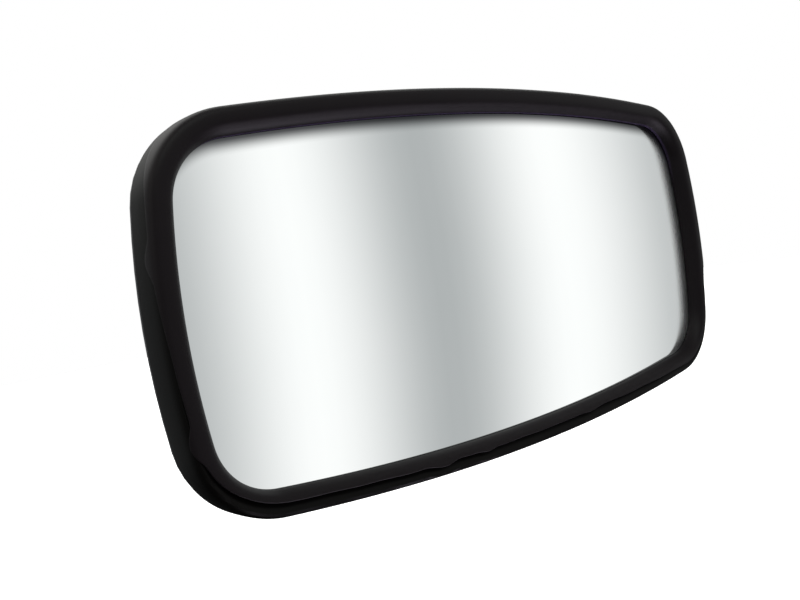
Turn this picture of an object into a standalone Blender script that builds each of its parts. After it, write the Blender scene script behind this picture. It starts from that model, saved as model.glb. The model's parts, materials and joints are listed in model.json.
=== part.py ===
"""Wide convex security mirror on an adjustable wall bracket.

Metres, +Z up. The origin is the middle of the wall plate's back face, +Y points into the wall and
the mirror faces -Y. Sizes below are in millimetres and become metres where a shape is made.

Front to back: convex glass, foam pad and backing board, all three held in one rubber gasket; a
bowl-shaped back shell; a stud through the shell, on which the head turns from landscape to
portrait; a fork that tilts on a horizontal bolt; an arm that swings on an upright bolt; the plate.
"""

from math import atan2, cos, hypot, pi, radians, sin, sqrt

import bmesh
import bpy
from mathutils import Matrix, Vector

MM = 0.001
GAP = 0.3  # left between pieces that touch

# ---- driving dimensions, mm ----
HEAD_HALF_WIDTH = 178.0
HEAD_HALF_HEIGHT = 87.6
TOP_BOW_RADIUS = 1326.0  # long edges
SIDE_BOW_RADIUS = 343.0  # short edges
CORNER_RADIUS = 38.8
RIM_WIDTH = 11.2  # from the visible edge of the glass to the outside of the shell
RIM_HEIGHT = 8.2  # how far the rim stands in front of the glass
DOME_RADIUS = 2200.0  # sphere of the glass
HEAD_DEPTH = 46.0  # crest of the rim, carried to the middle, to the pad on the shell's back

GLASS_THICK = 3.0
FOAM_THICK = 3.0
BOARD_THICK = 2.0
GLASS_COVER = 5.5  # how far the glass runs under the gasket
SHELL_WALL = 2.6
PAD_RADIUS = 30.0

WALL_PLATE_WIDTH = 64.0
WALL_PLATE_HEIGHT = 104.0
WALL_PLATE_THICK = 3.0
WALL_HOLE_RADIUS = 3.5
WALL_HOLE_X = 23.0
WALL_HOLE_Z = 42.0

PAN_Y = -22.0  # upright bolt
ARM_LENGTH = 96.0  # bolt to bolt
TILT_Y = PAN_Y - ARM_LENGTH  # level bolt
KNUCKLE_RADIUS = 11.0
KNUCKLE_HALF = 10.0
COLLAR_RADIUS = 9.5
COLLAR_LENGTH = 24.0
TUBE_RADIUS = 7.0
TUBE_WALL = 1.5
TUBE_SOCKET = 12.0
FORK_THICK = 3.0
FORK_EAR_RADIUS = 12.0
WASHER_THICK = 1.5
BOLT_RADIUS = 4.0  # M8
HOLE_RADIUS = 4.4
HEX_RADIUS = 7.5  # 13 mm across flats
KNOB_RADIUS = 13.0
KNOB_LOBE = 2.5
KNOB_HEIGHT = 17.0
STUD_WEB_GAP = 12.0  # room for the stud's nut between fork and arm
FRICTION_THICK = 2.0  # nylon disc between the head and the fork

# ---- derived places, mm ----
FORK_INSIDE = KNUCKLE_HALF + GAP + WASHER_THICK + GAP
FORK_OUTSIDE = FORK_INSIDE + FORK_THICK
TILT_WEB_BACK = TILT_Y - KNUCKLE_RADIUS - STUD_WEB_GAP
TILT_WEB_FRONT = TILT_WEB_BACK - FORK_THICK
SHELL_BACK = TILT_WEB_FRONT - GAP - FRICTION_THICK - GAP
FRONT_Y = SHELL_BACK - HEAD_DEPTH
GLASS_FRONT = RIM_HEIGHT
GLASS_BACK = GLASS_FRONT + GLASS_THICK
FOAM_BACK = GLASS_BACK + GAP + FOAM_THICK
BOARD_FRONT = FOAM_BACK + GAP
BOARD_BACK = BOARD_FRONT + BOARD_THICK

# ---- mesh fineness ----
SIDE_STEPS, CORNER_STEPS, TOP_STEPS = 4, 9, 7
ROUND_STEPS = 32
SMALL_STEPS = 16

MATERIALS = {
    # name: (colour, roughness, metallic)
    "mirror_silver": ((0.86, 0.88, 0.88), 0.03, 1.0),
    "black_rubber": ((0.012, 0.011, 0.012), 0.42, 0.0),
    "black_abs": ((0.016, 0.016, 0.017), 0.38, 0.0),
    "grey_foam": ((0.16, 0.16, 0.17), 0.95, 0.0),
    "hardboard": ((0.17, 0.10, 0.06), 0.80, 0.0),
    "zinc_steel": ((0.62, 0.61, 0.58), 0.32, 1.0),
    "black_powder_coat": ((0.020, 0.020, 0.021), 0.55, 0.0),
    "white_nylon": ((0.80, 0.78, 0.72), 0.45, 0.0),
    "black_knob": ((0.018, 0.018, 0.019), 0.50, 0.0),
}


# ---- helpers ----
def clear_scene():
    for obj in list(bpy.data.objects):
        bpy.data.objects.remove(obj, do_unlink=True)


def make_materials():
    made = {}
    for name, (colour, roughness, metallic) in MATERIALS.items():
        material = bpy.data.materials.new(name)
        material.use_nodes = True
        shader = material.node_tree.nodes["Principled BSDF"]
        shader.inputs["Base Color"].default_value = (*colour, 1.0)
        shader.inputs["Roughness"].default_value = roughness
        shader.inputs["Metallic"].default_value = metallic
        made[name] = material
    return made


def add_object(name, bm, material, matrix=None):
    """The bmesh, in millimetres, as an object in metres, turned and placed by matrix (also in mm)."""
    bmesh.ops.remove_doubles(bm, verts=bm.verts, dist=1e-4)
    bmesh.ops.recalc_face_normals(bm, faces=bm.faces)
    mesh = bpy.data.meshes.new(name)
    bmesh.ops.scale(bm, vec=(MM, MM, MM), verts=bm.verts)
    bm.to_mesh(mesh)
    bm.free()
    obj = bpy.data.objects.new(name, mesh)
    bpy.context.scene.collection.objects.link(obj)
    if matrix is not None:
        place = matrix.copy()
        place.translation = matrix.translation * MM
        obj.matrix_world = place
    if material is not None:
        mesh.materials.append(material)
    mesh.shade_smooth()
    mesh.set_sharp_from_angle(angle=radians(32))
    return obj


def towards(axis, centre):
    """A matrix that turns local +Z to the axis and moves the origin to centre."""
    turn = Vector((0, 0, 1)).rotation_difference(Vector(axis)).to_matrix().to_4x4()
    return Matrix.Translation(Vector(centre)) @ turn


def turned(name, profile, material, axis, centre, steps=ROUND_STEPS):
    """A lathe piece. profile is (radius, height) points; one that starts and ends at radius 0 is a
    solid of revolution, any other is closed into a ring."""
    bm = bmesh.new()
    verts = [bm.verts.new((r, 0, h)) for r, h in profile]
    edges = [bm.edges.new(pair) for pair in zip(verts, verts[1:])]
    if profile[0][0] > 0:
        edges.append(bm.edges.new((verts[-1], verts[0])))
    bmesh.ops.spin(
        bm, geom=verts + edges, axis=(0, 0, 1), cent=(0, 0, 0), steps=steps, angle=2 * pi, use_merge=True
    )
    bmesh.ops.remove_doubles(bm, verts=bm.verts, dist=1e-4)
    bm.normal_update()
    poles = [v for v in bm.verts if hypot(v.co.x, v.co.y) < 1e-4]
    flat = [v for v in poles if all(abs(f.normal.z) > 0.999 for f in v.link_faces)]
    bmesh.ops.dissolve_verts(bm, verts=flat)
    return add_object(name, bm, material, towards(axis, centre))


def rod(name, radius, start, end, material, axis, centre, steps=ROUND_STEPS):
    profile = [(0, start), (radius, start), (radius, end), (0, end)]
    return turned(name, profile, material, axis, centre, steps)


def washer(name, inner, outer, start, end, material, axis, centre):
    profile = [(inner, start), (outer, start), (outer, end), (inner, end)]
    return turned(name, profile, material, axis, centre)


def prism(name, points, start, end, material, axis, centre):
    """A flat outline drawn in the local X-Y plane and extruded along local Z."""
    bm = bmesh.new()
    face = bm.faces.new([bm.verts.new((x, y, start)) for x, y in points])
    grown = bmesh.ops.extrude_face_region(bm, geom=[face])
    top = [v for v in grown["geom"] if isinstance(v, bmesh.types.BMVert)]
    bmesh.ops.translate(bm, vec=(0, 0, end - start), verts=top)
    return add_object(name, bm, material, towards(axis, centre))


def combine(obj, others, operation):
    """Joins or cuts obj with the others and removes them."""
    for other in others:
        step = obj.modifiers.new(operation.lower(), "BOOLEAN")
        step.operation = operation
        step.object = other
    graph = bpy.context.evaluated_depsgraph_get()
    result = bpy.data.meshes.new_from_object(obj.evaluated_get(graph))
    obj.modifiers.clear()
    obj.data = result
    for other in others:
        bpy.data.objects.remove(other, do_unlink=True)
    result.shade_smooth()
    result.set_sharp_from_angle(angle=radians(32))
    return obj


def round_edges(obj, width, segments=1):
    """Rounds every sharp edge; width is in millimetres."""
    bevel = obj.modifiers.new("edges", "BEVEL")
    bevel.width = width * MM
    bevel.segments = segments
    bevel.limit_method = "ANGLE"
    bevel.angle_limit = radians(40)
    return combine(obj, [], "UNION")


def cut(obj, others):
    return combine(obj, others, "DIFFERENCE")


def join(obj, others):
    return combine(obj, others, "UNION")


def arc(centre, radius, start, end, steps):
    """Points on an arc, without its last one."""
    turn = [start + (end - start) * i / steps for i in range(steps)]
    return [(centre[0] + radius * cos(a), centre[1] + radius * sin(a)) for a in turn]


def rounded_rectangle(half_width, half_height, radius, steps=5):
    points = []
    for quarter, (sx, sy) in enumerate(((1, 1), (-1, 1), (-1, -1), (1, -1))):
        centre = (sx * (half_width - radius), sy * (half_height - radius))
        start = quarter * pi / 2
        points += arc(centre, radius, start, start + pi / 2, steps)
        points.append(
            (centre[0] + radius * cos(start + pi / 2), centre[1] + radius * sin(start + pi / 2))
        )
    return points


# ---- the head's outline: four bowed sides and four round corners, all arcs ----
def corner_centre():
    """Where a corner arc touches both bows from inside, in the first quarter."""
    top = Vector((0, HEAD_HALF_HEIGHT - TOP_BOW_RADIUS))
    side = Vector((HEAD_HALF_WIDTH - SIDE_BOW_RADIUS, 0))
    to_top = TOP_BOW_RADIUS - CORNER_RADIUS
    to_side = SIDE_BOW_RADIUS - CORNER_RADIUS
    apart = side - top
    along = (to_top**2 - to_side**2 + apart.length_squared) / (2 * apart.length)
    across = sqrt(to_top**2 - along**2)
    unit = apart.normalized()
    return top + unit * along + Vector((unit.y, -unit.x)) * across, top, side


def head_outline(grow=0.0):
    """Points (x, z) of the head's outline, moved outwards by grow, once round from +X."""
    corner, top, side = corner_centre()
    side_turn = atan2(corner.y - side.y, corner.x - side.x)
    top_turn = atan2(corner.y - top.y, corner.x - top.x)
    quarter = arc(side, SIDE_BOW_RADIUS + grow, 0, side_turn, SIDE_STEPS)
    quarter += arc(corner, CORNER_RADIUS + grow, side_turn, top_turn, CORNER_STEPS)
    quarter += arc(top, TOP_BOW_RADIUS + grow, top_turn, pi / 2, TOP_STEPS)
    middle_top = (0.0, HEAD_HALF_HEIGHT + grow)
    right_to_left = quarter + [middle_top] + [(-x, z) for x, z in quarter[:0:-1]]
    return right_to_left + [(-x, -z) for x, z in right_to_left]


def dome(x, z):
    """How far the sphere falls back at (x, z)."""
    return DOME_RADIUS - sqrt(DOME_RADIUS**2 - x * x - z * z)


def rim_ring(across, depth):
    """A ring round the head: across is outwards from the visible edge of the glass."""
    points = head_outline(across - RIM_WIDTH)
    return [(x, FRONT_Y + depth + dome(x, z), z) for x, z in points]


def bowl_ring(inset, depth, domed):
    """A ring of the shell, the outline shrunk by inset on both half sizes; domed is the share of
    the glass's sphere that it follows."""
    across = 1 - inset / HEAD_HALF_WIDTH
    up = 1 - inset / HEAD_HALF_HEIGHT
    points = [(x * across, z * up) for x, z in head_outline()]
    return [(x, FRONT_Y + depth + domed * dome(x, z), z) for x, z in points]


def round_ring(radius, depth):
    """A circle round the stud with its points in line with the outline's."""
    points = []
    for x, z in head_outline():
        size = hypot(x, z)
        points.append((x / size * radius, FRONT_Y + depth, z / size * radius))
    return points


def skin(name, rings, material, ends=None):
    """Triangles between one ring and the next. With no ends the last ring joins the first; otherwise
    ends are the middle points of the first and last ring, each filled as a fan."""
    bm = bmesh.new()
    loops = [[bm.verts.new(p) for p in ring] for ring in rings]
    count = len(loops[0])
    pairs = list(zip(loops, loops[1:]))
    if ends is None:
        pairs.append((loops[-1], loops[0]))
    for a, b in pairs:
        for i in range(count):
            j = (i + 1) % count
            bm.faces.new((a[i], a[j], b[j]))
            bm.faces.new((a[i], b[j], b[i]))
    for loop, middle in zip((loops[0], loops[-1]), ends or ()):
        centre = bm.verts.new(middle)
        for i in range(count):
            bm.faces.new((loop[i], loop[(i + 1) % count], centre))
    return add_object(name, bm, material)


def domed_plate(name, across, front, back, material, shares=(0.5,)):
    """A plate on the glass's sphere, across beyond the visible edge, between two depths."""

    def ring(share, depth):
        points = head_outline(across - RIM_WIDTH)
        scaled = [(x * share, z * share) for x, z in points]
        return [(x, FRONT_Y + depth + dome(x, z), z) for x, z in scaled]

    front_rings = [ring(s, front) for s in (*shares, 1.0)]
    back_rings = [ring(s, back) for s in (1.0, *reversed(shares))]
    ends = ((0, FRONT_Y + front, 0), (0, FRONT_Y + back, 0))
    return skin(name, front_rings + back_rings, material, ends)


# ---- the head ----
def make_glass(materials):
    shares = (0.35, 0.7)
    return [
        domed_plate("mirror_glass", GLASS_COVER, GLASS_FRONT, GLASS_BACK, materials["mirror_silver"], shares)
    ]


def make_foam(materials):
    return [domed_plate("foam_pad", GLASS_COVER, GLASS_BACK + GAP, FOAM_BACK, materials["grey_foam"])]


SCREW_PLACES = [(sx * 96.0, sz * 40.0) for sx in (-1, 1) for sz in (-1, 1)]
SCREW_RADIUS = 2.0
SCREW_HOLE = 2.4
SCREW_HEAD_RADIUS = 4.0
SCREW_HEAD_HEIGHT = 2.4
SCREW_POCKET = 4.6
BOSS_RADIUS = 7.0
BOSS_BACK = SHELL_BACK - 4.5  # bottom of the pockets that hide the screw heads


def make_board(materials):
    """Backing board, with a hole for each cover screw."""
    board = domed_plate("backing_board", GLASS_COVER, BOARD_FRONT, BOARD_BACK, materials["hardboard"])
    holes = [
        rod(f"hole_{i}", SCREW_HOLE, -30, 30, None, (0, 1, 0), (x, FRONT_Y + BOARD_BACK, z), SMALL_STEPS)
        for i, (x, z) in enumerate(SCREW_PLACES)
    ]
    return [cut(board, holes)]


def make_gasket(materials):
    """Rubber channel round the glass, foam and board, with a rounded bead in front."""
    bead = [(0.0, GLASS_FRONT - GAP), (0.5, 6.0), (1.9, 3.3), (3.6, 1.2), (5.2, 0.2), (6.2, 0.0), (7.0, 0.9)]
    outside_back = [(7.0, BOARD_BACK + 3.0), (2.6, BOARD_BACK + 3.0)]
    slot = [
        (2.6, BOARD_BACK + GAP),
        (GLASS_COVER + GAP, BOARD_BACK + GAP),
        (GLASS_COVER + GAP, GLASS_FRONT - GAP),
    ]
    rings = [rim_ring(u, d) for u, d in bead + outside_back + slot]
    return [skin("rubber_gasket", rings, materials["black_rubber"])]


def shell_outer_rings():
    """Outside of the shell, from the inner edge of its rim over the bead to the pad's hole."""
    bead = [(7.3, 3.2), (7.9, 1.9), (9.0, 1.3), (10.0, 2.0), (10.7, 4.2), (11.0, 9.0), (11.2, 17.4)]
    rings = [rim_ring(u, d) for u, d in bead]
    rings += [bowl_ring(inset, d, s) for inset, d, s in BOWL]
    rings.append(round_ring(PAD_RADIUS + 3.0, HEAD_DEPTH - 1.6))
    rings.append(round_ring(PAD_RADIUS, HEAD_DEPTH))
    rings.append(round_ring(HOLE_RADIUS, HEAD_DEPTH))
    return rings


# inset, depth, share of the dome, from the shoulder to the flat back
BOWL = [
    (0.5, 20.6, 0.95),
    (1.7, 24.2, 0.9),
    (3.6, 28.2, 0.8),
    (6.2, 32.0, 0.7),
    (9.8, 35.5, 0.55),
    (14.2, 38.5, 0.4),
    (19.4, 40.9, 0.27),
    (25.0, 42.6, 0.15),
    (31.4, 43.8, 0.06),
    (38.0, 44.4, 0.0),
]


def shell_inner_rings():
    """Inside of the shell, from the pad's hole forwards to the back of the rim."""
    rings = [round_ring(HOLE_RADIUS, HEAD_DEPTH - SHELL_WALL)]
    rings.append(round_ring(PAD_RADIUS - 1.0, HEAD_DEPTH - SHELL_WALL))
    rings.append(round_ring(PAD_RADIUS + 2.0, HEAD_DEPTH - SHELL_WALL - 1.6))
    for inset, depth, share in BOWL[::-2]:
        rings.append(bowl_ring(inset + SHELL_WALL * 0.6, depth - SHELL_WALL * 0.8, share))
    rings.append(rim_ring(RIM_WIDTH - SHELL_WALL, 17.4))
    rings.append(rim_ring(RIM_WIDTH - SHELL_WALL, 9.0))
    rings.append(rim_ring(7.3, 7.0))
    return rings


RIVET_PLACES = [(sx * 36.0, sz * 22.0) for sx in (-1, 1) for sz in (-1, 1)]
RIVET_RADIUS = 2.0
RIVET_HOLE = 2.4


def make_shell(materials):
    """Back shell: a bowl with a rounded rim, four screw bosses and the holes for stud and rivets."""
    shell = skin("back_shell", shell_outer_rings() + shell_inner_rings(), materials["black_abs"])
    bosses = []
    tools = []
    for i, (x, z) in enumerate(SCREW_PLACES):
        boss_front = FRONT_Y + BOARD_BACK + dome(x, z) + 2.0
        boss_end = SHELL_BACK - SHELL_WALL
        bosses.append(rod(f"boss_{i}", BOSS_RADIUS, boss_front, boss_end, None, (0, 1, 0), (x, 0, z)))
        stepped = [
            (0, FRONT_Y),
            (SCREW_HOLE, FRONT_Y),
            (SCREW_HOLE, BOSS_BACK),
            (SCREW_POCKET, BOSS_BACK),
            (SCREW_POCKET, 0),
            (0, 0),
        ]
        tools.append(turned(f"screw_way_{i}", stepped, None, (0, 1, 0), (x, 0, z), SMALL_STEPS))
    for i, (x, z) in enumerate(RIVET_PLACES):
        tools.append(
            rod(f"rivet_hole_{i}", RIVET_HOLE, SHELL_BACK - 9, 0, None, (0, 1, 0), (x, 0, z), SMALL_STEPS)
        )
    return [cut(join(shell, bosses), tools)]


def make_cover_screws(materials):
    """Pan-head screws, set in pockets in the back, that hold the board to the shell."""
    made = []
    for i, (x, z) in enumerate(SCREW_PLACES, 1):
        tip = FRONT_Y + BOARD_FRONT + dome(x, z) + 0.6
        seat = BOSS_BACK + GAP
        top = seat + SCREW_HEAD_HEIGHT
        profile = [
            (0, tip),
            (SCREW_RADIUS * 0.5, tip),
            (SCREW_RADIUS, tip + 2),
            (SCREW_RADIUS, seat),
            (SCREW_HEAD_RADIUS, seat),
            (SCREW_HEAD_RADIUS, seat + SCREW_HEAD_HEIGHT * 0.5),
            (SCREW_HEAD_RADIUS * 0.7, top),
            (0, top),
        ]
        made.append(
            turned(f"cover_screw_{i}", profile, materials["zinc_steel"], (0, 1, 0), (x, 0, z), SMALL_STEPS)
        )
    return made


def make_stiffener(materials):
    """Steel plate inside the shell that spreads the stud's load, and its four rivets."""
    back = SHELL_BACK - SHELL_WALL - 1.6 - GAP
    plate = prism(
        "stiffener_plate",
        rounded_rectangle(46.0, 30.0, 6.0),
        back - 2.0,
        back,
        materials["zinc_steel"],
        (0, 1, 0),
        (0, 0, 0),
    )
    holes = [rod("stud_hole", HOLE_RADIUS, back - 9, 0, None, (0, 1, 0), (0, 0, 0), SMALL_STEPS)]
    holes += [
        rod(f"hole_{i}", RIVET_HOLE, back - 9, 0, None, (0, 1, 0), (x, 0, z), SMALL_STEPS)
        for i, (x, z) in enumerate(RIVET_PLACES)
    ]
    made = [cut(plate, holes)]
    head_seat = SHELL_BACK - 1.6 + GAP
    for i, (x, z) in enumerate(RIVET_PLACES, 1):
        inner = back - 2.0 - GAP
        profile = [
            (0, inner - 1.6),
            (3.4, inner - 1.2),
            (3.4, inner),
            (RIVET_RADIUS, inner),
            (RIVET_RADIUS, head_seat),
            (4.2, head_seat),
            (3.6, head_seat + 1.0),
            (2.0, head_seat + 1.5),
            (0, head_seat + 1.6),
        ]
        made.append(
            turned(f"shell_rivet_{i}", profile, materials["zinc_steel"], (0, 1, 0), (x, 0, z), SMALL_STEPS)
        )
    return made


def hexagon(name, start, end, chamfers, material, axis, centre):
    """A six-sided block whose corners are turned off at the ends that chamfers names."""
    corners = [(HEX_RADIUS * cos(i * pi / 3), HEX_RADIUS * sin(i * pi / 3)) for i in range(6)]
    block = prism(name, corners, start, end, material, axis, centre)
    wide = HEX_RADIUS + 1
    flat = HEX_RADIUS * 0.85
    drop = 1.2
    low = [(flat, start), (wide, start + drop)] if "start" in chamfers else [(wide, start - 1)]
    high = [(wide, end - drop), (flat, end)] if "end" in chamfers else [(wide, end + 1)]
    profile = [(0, low[0][1]), *low, *high, (0, high[-1][1])]
    return combine(block, [turned("turning", profile, None, axis, centre)], "INTERSECT")


def hex_bolt(name, material, axis, centre, seat, tip, head_height):
    """A bolt along the axis: its head ends at seat and its shank at tip, which is chamfered."""
    head = hexagon(name, seat - head_height, seat, ("start",), material, axis, centre)
    profile = [
        (0, seat - 1.0),
        (BOLT_RADIUS, seat - 1.0),
        (BOLT_RADIUS, tip - 0.8),
        (BOLT_RADIUS - 0.8, tip),
        (0, tip),
    ]
    return join(head, [turned("shank", profile, None, axis, centre)])


def hex_nut(name, material, axis, centre, start, end):
    nut = hexagon(name, start, end, ("start", "end"), material, axis, centre)
    return cut(nut, [rod("bore", HOLE_RADIUS, start - 2, end + 2, None, axis, centre)])


def make_stud(materials):
    """Stud from inside the shell through the fork, with its washers and lock nut."""
    steel = materials["zinc_steel"]
    centre = (0, 0, 0)
    axis = (0, 1, 0)
    seat = SHELL_BACK - SHELL_WALL - 1.6 - GAP - 2.0 - GAP
    washer_start = TILT_WEB_BACK + GAP
    nut_start = washer_start + WASHER_THICK + GAP
    nut_end = nut_start + 6.5
    return [
        hex_bolt("head_stud", steel, axis, centre, seat, nut_end + 1.2, 5.0),
        washer(
            "friction_washer",
            HOLE_RADIUS,
            20.0,
            SHELL_BACK + GAP,
            TILT_WEB_FRONT - GAP,
            materials["white_nylon"],
            axis,
            centre,
        ),
        washer("stud_washer", HOLE_RADIUS, 9.0, washer_start, washer_start + WASHER_THICK, steel, axis, centre),
        hex_nut("stud_lock_nut", steel, axis, centre, nut_start, nut_end),
    ]


# ---- forks, arm and knobs ----
def fork_ear_outline(back):
    """An ear in its own plane: flat at the web, round at the bolt. x is across, y is along +Y."""
    turn = 10
    points = [(-FORK_EAR_RADIUS, back), (FORK_EAR_RADIUS, back)]
    points += [
        (FORK_EAR_RADIUS * cos(pi * i / turn), FORK_EAR_RADIUS * sin(pi * i / turn))
        for i in range(turn + 1)
    ]
    return points


def make_fork(name, material, upright, web_near, web_far, bolt_y):
    """A U of steel: a web and two ears, one each side of a knuckle. upright ears are above and below
    each other; otherwise they stand left and right."""
    web_middle = (web_near + web_far) / 2
    half_web = abs(web_far - web_near) / 2
    half_span = (FORK_OUTSIDE, FORK_EAR_RADIUS)
    if upright:
        half_span = (FORK_EAR_RADIUS, FORK_OUTSIDE)
    bm = bmesh.new()
    bmesh.ops.create_cube(bm, size=2.0)
    bmesh.ops.scale(bm, vec=(half_span[0], half_web, half_span[1]), verts=bm.verts)
    fork = add_object(name, bm, material, Matrix.Translation((0, web_middle, 0)))
    away = -1 if web_middle > bolt_y else 1
    length = abs(web_middle - bolt_y)
    ears = []
    for side in (-1, 1):
        outline = [(x, y * away) for x, y in fork_ear_outline(-length)]
        start, end = sorted((side * FORK_INSIDE, side * FORK_OUTSIDE))
        axis = (0, 0, 1)
        ear = prism(f"ear_{side}", outline, start, end, None, axis, (0, bolt_y, 0))
        if not upright:
            turn = Matrix.Rotation(pi / 2, 4, "Y")
            ear.matrix_world = Matrix.Translation((0, bolt_y * MM, 0)) @ turn
        ears.append(ear)
    fork = join(fork, ears)
    bolt_axis = (0, 0, 1) if upright else (1, 0, 0)
    hole = rod("hole", HOLE_RADIUS, -40, 40, None, bolt_axis, (0, bolt_y, 0))
    return cut(fork, [hole])


PLATE_RIVET_X = 7.0


def make_wall_plate(materials):
    coat = materials["black_powder_coat"]
    centre = (0, 0, 0)
    axis = (0, 1, 0)
    outline = rounded_rectangle(WALL_PLATE_WIDTH / 2, WALL_PLATE_HEIGHT / 2, 9.0)
    plate = prism("wall_plate", outline, -WALL_PLATE_THICK, 0, coat, axis, centre)
    places = [(sx * WALL_HOLE_X, sz * WALL_HOLE_Z) for sx in (-1, 1) for sz in (-1, 1)]
    holes = [
        rod(f"screw_hole_{i}", WALL_HOLE_RADIUS, -9, 9, None, axis, (x, 0, z), SMALL_STEPS)
        for i, (x, z) in enumerate(places)
    ]
    holes += [
        rod(f"rivet_hole_{x}", RIVET_HOLE + 0.4, -9, 9, None, axis, (x, 0, 0), SMALL_STEPS)
        for x in (-PLATE_RIVET_X, PLATE_RIVET_X)
    ]
    return cut(plate, holes)


def make_wall_bracket(materials):
    """Plate and fork on the wall, the two rivets that hold them together, and the upright bolt."""
    steel = materials["zinc_steel"]
    web_back = -WALL_PLATE_THICK - GAP
    web_front = web_back - FORK_THICK
    made = [make_wall_plate(materials)]
    fork = make_fork("wall_fork", materials["black_powder_coat"], True, web_back, web_front, PAN_Y)
    holes = [
        rod(f"rivet_hole_{x}", RIVET_HOLE + 0.4, -9, 9, None, (0, 1, 0), (x, 0, 0), SMALL_STEPS)
        for x in (-PLATE_RIVET_X, PLATE_RIVET_X)
    ]
    made.append(cut(fork, holes))
    for i, x in enumerate((-PLATE_RIVET_X, PLATE_RIVET_X), 1):
        seat = web_front - GAP
        profile = [
            (0, seat - 1.8),
            (2.6, seat - 1.5),
            (4.2, seat - 0.4),
            (4.2, seat),
            (2.4, seat),
            (2.4, -GAP),
            (0, -GAP),
        ]
        made.append(turned(f"plate_rivet_{i}", profile, steel, (0, 1, 0), (x, 0, 0), SMALL_STEPS))
    return made + bolt_set("pan", (0, 0, -1), (0, PAN_Y, 0), materials)


def bolt_set(word, axis, centre, materials):
    """A clamp bolt with its washers. It runs along the axis, head first and knob last."""
    steel = materials["zinc_steel"]
    nylon = materials["white_nylon"]
    head_washer = -FORK_OUTSIDE - GAP - WASHER_THICK
    knob_washer = FORK_OUTSIDE + GAP
    pad = KNUCKLE_HALF + GAP
    far = knob_washer + WASHER_THICK + GAP + KNOB_HEIGHT - 3.0
    return [
        hex_bolt(f"{word}_bolt", steel, axis, centre, head_washer - GAP, far, 5.3),
        washer(
            f"{word}_bolt_washer", HOLE_RADIUS, 9.0, head_washer, head_washer + WASHER_THICK, steel, axis, centre
        ),
        washer(
            f"{word}_pad_washer_1", HOLE_RADIUS, KNUCKLE_RADIUS, -pad - WASHER_THICK, -pad, nylon, axis, centre
        ),
        washer(
            f"{word}_pad_washer_2", HOLE_RADIUS, KNUCKLE_RADIUS, pad, pad + WASHER_THICK, nylon, axis, centre
        ),
        washer(
            f"{word}_knob_washer", HOLE_RADIUS, 9.0, knob_washer, knob_washer + WASHER_THICK, steel, axis, centre
        ),
    ]


def make_knob(word, axis, centre, materials):
    """A three-lobed hand knob with a threaded steel insert."""
    start = FORK_OUTSIDE + GAP + WASHER_THICK + GAP
    steps = 24
    outline = []
    for i in range(steps):
        turn = 2 * pi * i / steps
        radius = KNOB_RADIUS + KNOB_LOBE * cos(3 * turn)
        outline.append((radius * cos(turn), radius * sin(turn)))
    knob = prism(f"{word}_knob", outline, start + 4.0, start + KNOB_HEIGHT, materials["black_knob"], axis, centre)
    round_edges(knob, 1.6, 2)
    neck = rod("neck", 9.5, start, start + 6.0, None, axis, centre)
    knob = join(knob, [neck])
    stepped = [
        (0, start - 2),
        (6.3, start - 2),
        (6.3, start + 11.0),
        (HOLE_RADIUS, start + 11.0),
        (HOLE_RADIUS, start + KNOB_HEIGHT - 2.0),
        (0, start + KNOB_HEIGHT - 2.0),
    ]
    cut(knob, [turned("hollow", stepped, None, axis, centre)])
    insert = washer(
        f"{word}_knob_insert", HOLE_RADIUS, 6.0, start, start + 10.7, materials["zinc_steel"], axis, centre
    )
    return [knob, insert]


def make_knuckle(name, material, middle_y, bolt_axis, away):
    """An eye for the bolt with a collar for the tube; away is +1 or -1 along Y, to the tube."""
    eye = rod(name, KNUCKLE_RADIUS, -KNUCKLE_HALF, KNUCKLE_HALF, material, bolt_axis, (0, middle_y, 0))
    collar = rod("collar", COLLAR_RADIUS, 0, COLLAR_LENGTH, None, (0, away, 0), (0, middle_y, 0))
    knuckle = join(eye, [collar])
    bolt_hole = rod("bolt_hole", HOLE_RADIUS, -20, 20, None, bolt_axis, (0, middle_y, 0))
    socket = rod(
        "socket",
        TUBE_RADIUS + GAP,
        COLLAR_LENGTH - TUBE_SOCKET,
        COLLAR_LENGTH + 5,
        None,
        (0, away, 0),
        (0, middle_y, 0),
    )
    pin_y = middle_y + away * (COLLAR_LENGTH - TUBE_SOCKET / 2)
    pin_hole = rod("pin_hole", 1.8, -20, 20, None, (0, 0, 1), (0, pin_y, 0), SMALL_STEPS)
    return cut(knuckle, [bolt_hole, socket, pin_hole])


def make_arm(materials):
    """Tube pinned into two knuckles."""
    coat = materials["black_powder_coat"]
    tube_back = PAN_Y - (COLLAR_LENGTH - TUBE_SOCKET) - GAP
    tube_front = TILT_Y + (COLLAR_LENGTH - TUBE_SOCKET) + GAP
    tube = washer(
        "arm_tube", TUBE_RADIUS - TUBE_WALL, TUBE_RADIUS, tube_front, tube_back, coat, (0, 1, 0), (0, 0, 0)
    )
    made = [
        make_knuckle("rear_knuckle", coat, PAN_Y, (0, 0, 1), -1),
        make_knuckle("front_knuckle", coat, TILT_Y, (1, 0, 0), 1),
    ]
    pin_places = [
        PAN_Y - (COLLAR_LENGTH - TUBE_SOCKET / 2),
        TILT_Y + (COLLAR_LENGTH - TUBE_SOCKET / 2),
    ]
    holes = [
        rod(f"hole_{i}", 1.8, -20, 20, None, (0, 0, 1), (0, y, 0), SMALL_STEPS)
        for i, y in enumerate(pin_places)
    ]
    made.append(cut(tube, holes))
    for i, y in enumerate(pin_places, 1):
        pin = rod(
            f"arm_pin_{i}", 1.5, -9.0, 9.0, materials["zinc_steel"], (0, 0, 1), (0, y, 0), SMALL_STEPS
        )
        made.append(pin)
    return made


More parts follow.
